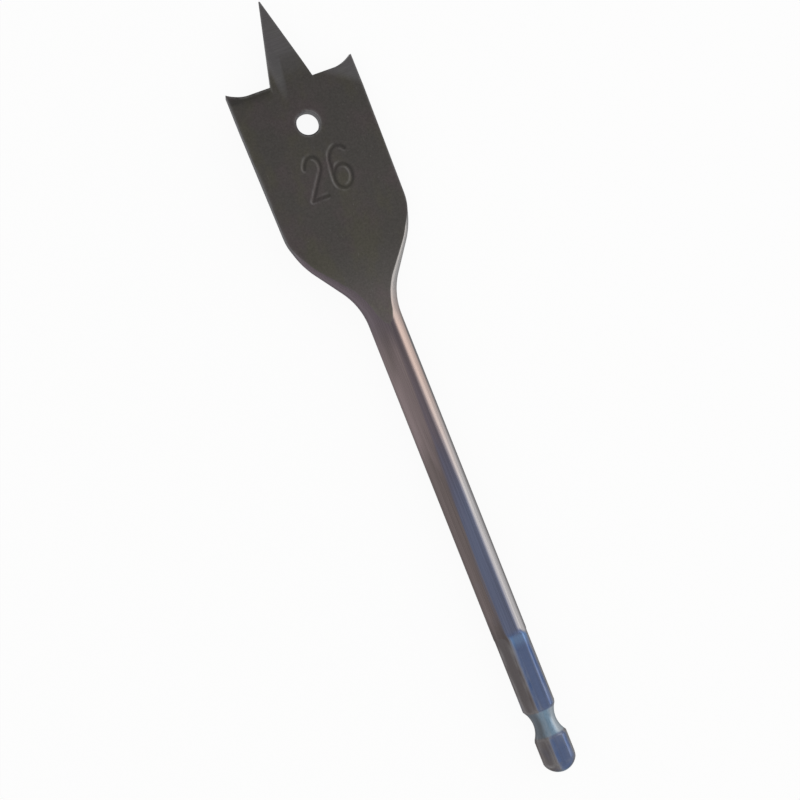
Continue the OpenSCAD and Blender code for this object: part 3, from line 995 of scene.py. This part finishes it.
class Nodes:
    """Adds nodes to one node tree and links them."""

    def __init__(self, tree):
        self.tree = tree

    def feed(self, value, socket):
        """Link a socket to an input, or set the input to a value. Colours are made opaque."""
        if isinstance(value, bpy.types.NodeSocket):
            self.tree.links.new(value, socket)
        else:
            socket.default_value = (*value, 1.0) if socket.type == "RGBA" else value

    def put(self, kind, inputs=None, **settings):
        """Add a node, set it up and feed its inputs, given by name or number."""
        node = self.tree.nodes.new(kind)
        for name, value in settings.items():
            setattr(node, name, value)
        for key, value in (inputs or {}).items():
            self.feed(value, node.inputs[key])
        return node

    def maths(self, operation, a, b=0.0, c=0.0):
        """Value of one sum on up to three values."""
        return self.put("ShaderNodeMath", {0: a, 1: b, 2: c}, operation=operation).outputs[0]

    def times(self, a, b):
        """Product of two values."""
        return self.maths("MULTIPLY", a, b)

    def minus(self, a, b):
        """Difference of two values."""
        return self.maths("SUBTRACT", a, b)

    def away(self, a, b):
        """How far two values are apart."""
        return self.maths("ABSOLUTE", self.minus(a, b))

    def ranged(self, value, low, high, to_low=0, to_high=1):
        """Value carried smoothly from one range to another."""
        inputs = {"Value": value, "From Min": low, "From Max": high, "To Min": to_low, "To Max": to_high}
        return self.put("ShaderNodeMapRange", inputs, interpolation_type="SMOOTHSTEP").outputs["Result"]

    def span(self, name, value):
        """Value carried over one of the named spans."""
        return self.ranged(value, *SPANS[name])

    def between(self, factor, a, b):
        """Value between two values."""
        return self.put("ShaderNodeMix", {0: factor, 2: a, 3: b}).outputs[0]

    def blended(self, factor, a, b, blend="MIX"):
        """Colour between two colours."""
        inputs = {0: factor, 6: a, 7: b}
        return self.put("ShaderNodeMix", inputs, data_type="RGBA", blend_type=blend).outputs[2]

    def shaded(self, rgb, shade):
        """Colour times a value."""
        grey = self.put("ShaderNodeCombineColor", {0: shade, 1: shade, 2: shade}).outputs[0]
        return self.blended(1.0, rgb, grey, "MULTIPLY")

    def pattern(self, name, place):
        """Value of one of the noise patterns."""
        scale, turn, detail, roughness = PATTERNS[name]
        mapping = {"Vector": place, "Scale": scale, "Rotation": (0, 0, turn)}
        drawn_out = self.put("ShaderNodeMapping", mapping).outputs["Vector"]
        inputs = {"Vector": drawn_out, "Scale": 1.0, "Detail": detail, "Roughness": roughness}
        return self.put("ShaderNodeTexNoise", inputs).outputs["Fac"]

    def spots(self, name, place):
        """Value of a noise pattern, carried over the span of the same name."""
        return self.span(name, self.pattern(name, place))


def group_of(name, inputs, outputs):
    """New node group: its nodes, what it is given and what it puts out, each socket with its kind."""
    tree = bpy.data.node_groups.new(name, "ShaderNodeTree")
    for way, sockets in (("INPUT", inputs), ("OUTPUT", outputs)):
        for socket, kind in sockets.items():
            tree.interface.new_socket(socket, in_out=way, socket_type=kind)
    n = Nodes(tree)
    return n, n.put("NodeGroupInput").outputs, n.put("NodeGroupOutput").inputs


def temper_and_light_group(looks, f):
    """Colour of the bar: brown along the shaft, with violet to blue heat tint along its top, and a
    painted highlight along its right side.
    """
    n, given, out = group_of("Temper tint", {"Place": VECTOR}, {"Color": COLOUR})
    place = given["Place"]
    parts = n.put("ShaderNodeSeparateXYZ", {0: place}).outputs
    from_tip = n.minus(f.tip_y / MM, parts["Y"])
    marks = {"neck": f.neck_v / MM, "hexagon": f.hex_v / MM, "end": f.overall_l / MM}

    def passing(name, at=from_tip):
        """Value of one of the stretches at a distance from the point."""
        first, past_first, last, past_last, *ends = STRETCHES[name]
        return n.ranged(at, marks[first] + past_first, marks[last] + past_last, *ends)

    # Along the bar, where the tints wander to and fro
    drift = n.minus(n.pattern("drift", place), 0.5)
    along = n.maths("MULTIPLY_ADD", drift, TINT_WANDER, from_tip)
    rosy = n.span("rosy", n.away(along, marks["neck"] + ROSY_PAST))
    brown = n.blended(rosy, looks.brown, looks.pink)
    brown = n.blended(passing("dark brown"), brown, looks.brown_end)
    brown = n.blended(passing("violet"), brown, looks.violet)
    heat = n.blended(passing("slate", along), looks.violet, looks.slate)
    # Painted highlight for the right side: grey at the neck, straw past it, pale toward the shank
    light = n.blended(passing("straw_highlight"), looks.neck, looks.straw_highlight)
    light = n.blended(passing("pale", along), light, looks.pale)
    hexed = passing("hexagon")
    heat = n.blended(hexed, heat, looks.blue)
    # Painted highlight: a bright blue glint where the flats run out
    heat = n.blended(n.times(passing("painted_glint"), passing("flash out")), heat, looks.painted_glint)

    # Round the bar from the left: brown, then the heat tint along the top, then the painted highlight on
    # the right side
    stray = n.minus(n.pattern("streak", place), 0.5)
    around = n.maths("ARCTAN2", parts["X"], parts["Z"])
    around = n.maths("MULTIPLY_ADD", stray, TINT_STRAY, around)
    tint_start = n.maths("MULTIPLY_ADD", hexed, HEX_TINT_TURN, passing("tint start"))
    highlight_start = n.maths("MULTIPLY_ADD", hexed, HEX_HIGHLIGHT_TURN, passing("pale start"))
    past_highlight = n.minus(around, highlight_start)
    tint = n.times(n.span("tint", n.minus(around, tint_start)), passing("tint depth", along))
    tint = n.times(tint, n.span("tint out", around))
    tint = n.maths("MAXIMUM", tint, n.spots("patches", place))
    # Painted shade: a dark band just before the highlight, in the painted shade colour
    painted_shade_band = n.times(n.span("painted_shade_band", past_highlight), n.span("dusk out", around))
    tinted = n.blended(painted_shade_band, n.blended(tint, brown, heat), looks.painted_shade)
    # Painted highlight: the hexagon's corner where the heat tint starts takes the highlight colour
    corner = n.times(n.span("corner", n.away(around, tint_start)), hexed)
    tinted = n.blended(corner, tinted, looks.pale)
    # Painted shade: a darker rim at the far right of the highlight, past the neck
    light = n.blended(n.times(n.span("rim", around), passing("rim")), light, looks.rim)
    # Painted highlight: the right side of the bar takes the light colour
    lit = n.times(n.span("pale", past_highlight), n.span("pale out", around))
    bar = n.blended(lit, tinted, light)

    # The groove, cut after the hexagon, is paler, with painted shade on its left and a painted highlight
    # on its right; the very end is paler too
    groove = n.blended(n.span("groove top", around), looks.groove_painted_shade, looks.groove)
    groove = n.blended(n.span("groove right", around), groove, looks.groove_painted_highlight)
    upright = n.times(parts["Z"], parts["Z"])
    off_axis = n.maths("SQRT", n.maths("MULTIPLY_ADD", parts["X"], parts["X"], upright))
    bottom, rim = f.groove_d / 2 / MM + GROOVE_FLOOR, f.hex_af / 2 / MM - GROOVE_RIM
    in_groove = n.span("groove", n.away(from_tip, f.groove_v / MM))
    in_groove = n.times(n.ranged(off_axis, bottom, rim, GROOVE_SHARE, 0.0), in_groove)
    bar = n.blended(in_groove, bar, groove)
    n.feed(n.blended(passing("very end"), bar, looks.groove), out["Color"])
    return n.tree


def skin_group(looks, f):
    """Dark skin of the forged faces: colour in soft patches, light specks, and a pitted height."""
    outputs = {"Color": COLOUR, "Height": FLOAT, "Specks": FLOAT}
    n, given, out = group_of("Forging skin", {"Place": VECTOR}, outputs)
    place = given["Place"]
    skin = n.blended(n.spots("warm", place), looks.scale, looks.scale_warm)
    skin = n.blended(n.spots("olive", place), skin, looks.scale_olive)
    grain = n.pattern("grain", place)
    from_tip = n.minus(f.tip_y / MM, n.put("ShaderNodeSeparateXYZ", {0: place}).outputs["Y"])
    shoulder_v = f.shoulder_v / MM
    to_shoulder = n.ranged(from_tip, f.spur_l / MM, shoulder_v, 1.0, SHOULDER_LIFT)
    # Painted highlight: the skin gets lighter up the ramps toward the neck
    to_neck = n.ranged(from_tip, shoulder_v + NECK_LIFT_PAST, f.ramp_end_v / MM, 1.0, NECK_LIFT)
    shade = n.times(n.span("grain", grain), n.times(to_neck, to_shoulder))
    n.feed(n.shaded(skin, shade), out["Color"])
    n.feed(n.minus(n.times(grain, GRAIN_HEIGHT), n.spots("pits", place)), out["Height"])
    n.feed(n.spots("specks", place), out["Specks"])
    return n.tree


def lines_group():
    """Fine parallel lines: drawn along the bar, or left by the wheel across a ground face."""
    n, given, out = group_of("Tool lines", {"Place": VECTOR}, {"Drawn": FLOAT, "Wheel": FLOAT})
    n.feed(n.pattern("drawn", given["Place"]), out["Drawn"])
    n.feed(n.pattern("wheel", given["Place"]), out["Wheel"])
    return n.tree


def wear_and_highlight_group():
    """Where handling has worn the edges bright, with the painted highlights along the strokes' left
    edges: the edge mask broken up by noise.
    """
    n, given, out = group_of("Edge wear and highlight", {"Place": VECTOR, "Edge": FLOAT}, {"Wear": FLOAT})
    n.feed(n.times(given["Edge"], n.spots("wear", given["Place"])), out["Wear"])
    return n.tree


def tempered_steel(looks, f):
    """The one material of the bit. Masks on the mesh tell bar, forging skin and ground faces apart."""
    material = bpy.data.materials.new("tempered_steel")
    material.use_nodes = True
    n = Nodes(material.node_tree)
    shader = n.tree.nodes["Principled BSDF"].inputs
    where = n.put("ShaderNodeTexCoord").outputs["Object"]
    mapping = {"Vector": where, "Location": (0, 0, f.bar_r), "Rotation": (0, f.rest_roll, 0),
               "Scale": (MM, MM, MM)}
    place = n.put("ShaderNodeMapping", mapping, vector_type="TEXTURE").outputs["Vector"]
    mask = {name: n.put("ShaderNodeAttribute", attribute_name=name).outputs["Fac"] for name in MASKS}

    def placed(made, **extra):
        """Outputs of one of the groups in this material."""
        return n.put("ShaderNodeGroup", {"Place": place, **extra}, node_tree=made).outputs

    # Bar colour: temper tints with the painted highlight and shade round its right side
    temper = placed(temper_and_light_group(looks, f))
    skin = placed(skin_group(looks, f))
    lines = placed(lines_group())
    wear = placed(wear_and_highlight_group(), Edge=mask["edge"])

    # Colour: bar, then forging skin, ground faces, painted shade, and bright edges with the strokes'
    # painted highlights over it
    base = n.shaded(temper["Color"], n.span("drawn", lines["Drawn"]))
    base = n.blended(mask["skin"], base, skin["Color"])
    ground = n.shaded(looks.ground, n.span("wheel", lines["Wheel"]))
    ground_share = n.times(mask["ground"], n.minus(1.0, n.times(mask["skin"], SKIN_STAIN)))
    base = n.blended(ground_share, base, ground)
    base = n.blended(n.times(mask["painted_shade"], PAINTED_SHADE_SHARE), base, looks.painted_shade)
    # Bright edges: real wear, and the painted highlight along the strokes' left edges
    bright = n.times(wear["Wear"], n.span("bright", mask["skin"]))
    bright = n.maths("MAXIMUM", bright, n.times(skin["Specks"], mask["skin"]))
    n.feed(n.blended(bright, base, looks.bright), shader["Base Color"])

    # Roughness and metal: dull skin, smoother bar
    bar_rough = n.span("bar rough", lines["Drawn"])
    rough = n.between(mask["skin"], bar_rough, n.span("skin rough", skin["Height"]))
    n.feed(n.between(ground_share, rough, GROUND_ROUGH), shader["Roughness"])
    n.feed(n.span("metal", mask["skin"]), shader["Metallic"])
    n.feed([GRAZING_TINT] * 3, shader["Specular Tint"])

    # Relief: pitted skin, drawn lines on the bar, wheel lines on ground faces
    height = n.times(skin["Height"], n.times(mask["skin"], SKIN_RELIEF))
    drawn = n.times(n.minus(1.0, mask["skin"]), DRAWN_RELIEF)
    height = n.maths("MULTIPLY_ADD", lines["Drawn"], drawn, height)
    wheel = n.times(mask["ground"], WHEEL_RELIEF)
    height = n.maths("MULTIPLY_ADD", lines["Wheel"], wheel, height)
    relief = {"Height": height, "Strength": RELIEF_STRENGTH, "Distance": RELIEF_DEPTH * MM}
    n.feed(n.put("ShaderNodeBump", relief).outputs["Normal"], shader["Normal"])
    return material


def placed_in(scene, name, data):
    """New object on a mesh, lamp or camera, at the origin until it is moved."""
    made = bpy.data.objects.new(name, data)
    scene.collection.objects.link(made)
    return made


class SPADEBIT_OT_forge(bpy.types.Operator):
    """Make the bit as one closed mesh with its steel finish"""

    bl_idname = "spade_bit.forge"
    bl_label = "Forge Bit"

    def execute(self, context):
        scene = context.scene
        f = bit_form(scene.spade_bit_sizes)
        ring = ring_angles(f)
        patches = blade_patches(f, scene.spade_bit_number, ring) + shank_patches(f, ring)
        points, squares, triangles, masks = weld(patches)
        check_closed(squares, triangles)
        mesh = make_mesh(PIECE_NAME, lay_down(f, points), squares, triangles, masks)
        mesh.materials.append(tempered_steel(scene.spade_bit_looks, f))
        bit = placed_in(scene, PIECE_NAME, mesh)
        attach(bit, "root")
        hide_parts(CAD_NODE)
        return {"FINISHED"}


# Camera: straight over the bit's middle, turned so that the point is at the upper left
CAMERA_PLACE = (-3.06 * MM, -1.66 * MM, 311.4 * MM)
CAMERA_TURN = math.radians(-21.67)
CAMERA_LENS = 71.6
CAMERA_SENSOR = 36.0
CAMERA_NEAR = 0.01

# Floor in metres, and the part of its own white that the camera and gloss see
FLOOR_RADIUS = 12.0
FLOOR_CORNERS = 96
FLOOR_GLOW = 0.93

# Sines of the heights between which the sky passes from its low to its high light
SKY_SPAN = (0.30, 0.95)

# Long lamp beside the bit: distance and length in metres, lower and upper edge as seen from the bit
LAMP_DISTANCE = 0.55
LAMP_L = 0.62
LAMP_LOW = math.radians(1)
LAMP_HIGH = math.radians(35)


def floor_material(looks):
    """Pale matt floor. Rays from the camera and from gloss also see its own white, under the shadow."""
    material = bpy.data.materials.new("studio_floor")
    material.use_nodes = True
    n = Nodes(material.node_tree)
    n.tree.nodes.remove(n.tree.nodes["Principled BSDF"])
    path = n.put("ShaderNodeLightPath").outputs
    seen = n.maths("MAXIMUM", path["Is Camera Ray"], path["Is Glossy Ray"])
    matt = n.put("ShaderNodeBsdfDiffuse", {"Color": looks.floor}).outputs[0]
    glow = n.put("ShaderNodeEmission", {"Strength": 1.0}).outputs[0]
    mixed = n.put("ShaderNodeMixShader", {0: n.times(seen, FLOOR_GLOW), 1: matt, 2: glow}).outputs[0]
    n.feed(mixed, n.tree.nodes["Material Output"].inputs["Surface"])
    return material


def make_floor(scene, looks):
    """Round floor at height nought, as a fan of triangles round its middle."""
    a = np.linspace(0.0, 2 * math.pi, FLOOR_CORNERS, endpoint=False)
    rim = np.stack([FLOOR_RADIUS * np.cos(a), FLOOR_RADIUS * np.sin(a), 0.0 * a], axis=-1)
    corner = np.arange(FLOOR_CORNERS)
    faces = np.stack([0 * corner, corner + 1, (corner + 1) % FLOOR_CORNERS + 1], axis=-1)
    mesh = bpy.data.meshes.new("studio_floor")
    mesh.from_pydata(np.concatenate([np.zeros((1, 3)), rim]), [], faces.tolist())
    mesh.materials.append(floor_material(looks))
    placed_in(scene, "studio_floor", mesh)


def make_sky(scene, looks):
    """Soft light all round, brighter near the horizon than overhead, and white to the camera."""
    world = bpy.data.worlds.new("studio_sky")
    world.use_nodes = True
    n = Nodes(world.node_tree)
    direction = n.put("ShaderNodeTexCoord").outputs["Generated"]
    up = n.put("ShaderNodeSeparateXYZ", {0: direction}).outputs["Z"]
    level = n.ranged(up, *SKY_SPAN, looks.sky_low, looks.sky_high)
    seen = n.put("ShaderNodeLightPath").outputs["Is Camera Ray"]
    background = n.tree.nodes["Background"].inputs
    n.feed(looks.sky, background["Color"])
    n.feed(n.maths("MAXIMUM", level, seen), background["Strength"])
    scene.world = world


def make_lamp(scene, looks):
    """Long soft lamp to the right of the bit, between two heights seen from it, turned toward it."""
    middle = (LAMP_LOW + LAMP_HIGH) / 2
    light = bpy.data.lights.new("side_lamp", "AREA")
    light.shape = "RECTANGLE"
    light.size = LAMP_L
    light.size_y = 2 * LAMP_DISTANCE * math.tan((LAMP_HIGH - LAMP_LOW) / 2)
    light.energy = looks.side_power
    light.color = looks.side_lamp
    lamp = placed_in(scene, "side_lamp", light)
    lamp.location = (LAMP_DISTANCE * math.cos(middle), 0.0, LAMP_DISTANCE * math.sin(middle))
    lamp.rotation_euler = (math.pi / 2 - middle, 0.0, math.pi / 2)
    lamp.visible_camera = False


def make_camera(scene):
    """Camera straight above, looking down."""
    camera = bpy.data.cameras.new("overhead_camera")
    camera.lens = CAMERA_LENS
    camera.sensor_width = CAMERA_SENSOR
    camera.clip_start = CAMERA_NEAR
    scene.camera = placed_in(scene, "overhead_camera", camera)
    scene.camera.location = CAMERA_PLACE
    scene.camera.rotation_euler = (0.0, 0.0, CAMERA_TURN)


class SPADEBIT_OT_stage(bpy.types.Operator):
    """Set up the floor, the soft light and the camera"""

    bl_idname = "spade_bit.stage"
    bl_label = "Set Up Studio"

    def execute(self, context):
        scene = context.scene
        looks = scene.spade_bit_studio
        scene.view_settings.view_transform = "Standard"
        make_floor(scene, looks)
        make_sky(scene, looks)
        make_lamp(scene, looks)
        make_camera(scene)
        return {"FINISHED"}


class SPADEBIT_PT_panel(bpy.types.Panel):
    """Sizes, colours and the two steps"""

    bl_idname = "SPADEBIT_PT_panel"
    bl_label = "Spade Bit"
    bl_space_type = "VIEW_3D"
    bl_region_type = "UI"
    bl_category = "Spade Bit"

    def draw(self, context):
        scene = context.scene
        self.layout.operator(SPADEBIT_OT_forge.bl_idname)
        self.layout.operator(SPADEBIT_OT_stage.bl_idname)
        for title, group in (("Sizes", scene.spade_bit_sizes), ("Number", scene.spade_bit_number),
                             ("Steel", scene.spade_bit_looks), ("Studio", scene.spade_bit_studio)):
            box = self.layout.box()
            box.label(text=title)
            for name in type(group).__annotations__:
                box.prop(group, name)


GROUPS = {
    "spade_bit_sizes": BitSizes,
    "spade_bit_number": NumberSizes,
    "spade_bit_looks": SteelLooks,
    "spade_bit_studio": StudioLooks,
}
CLASSES = (*GROUPS.values(), SPADEBIT_OT_forge, SPADEBIT_OT_stage, SPADEBIT_PT_panel)


def register():
    for cls in CLASSES:
        bpy.utils.register_class(cls)
    for name, cls in GROUPS.items():
        setattr(bpy.types.Scene, name, PointerProperty(type=cls))


def unregister():
    for name in GROUPS:
        delattr(bpy.types.Scene, name)
    for cls in reversed(CLASSES):
        bpy.utils.unregister_class(cls)


def main():
    register()
    bpy.ops.spade_bit.forge()
    bpy.ops.spade_bit.stage()


if __name__ == "__main__":
    main()
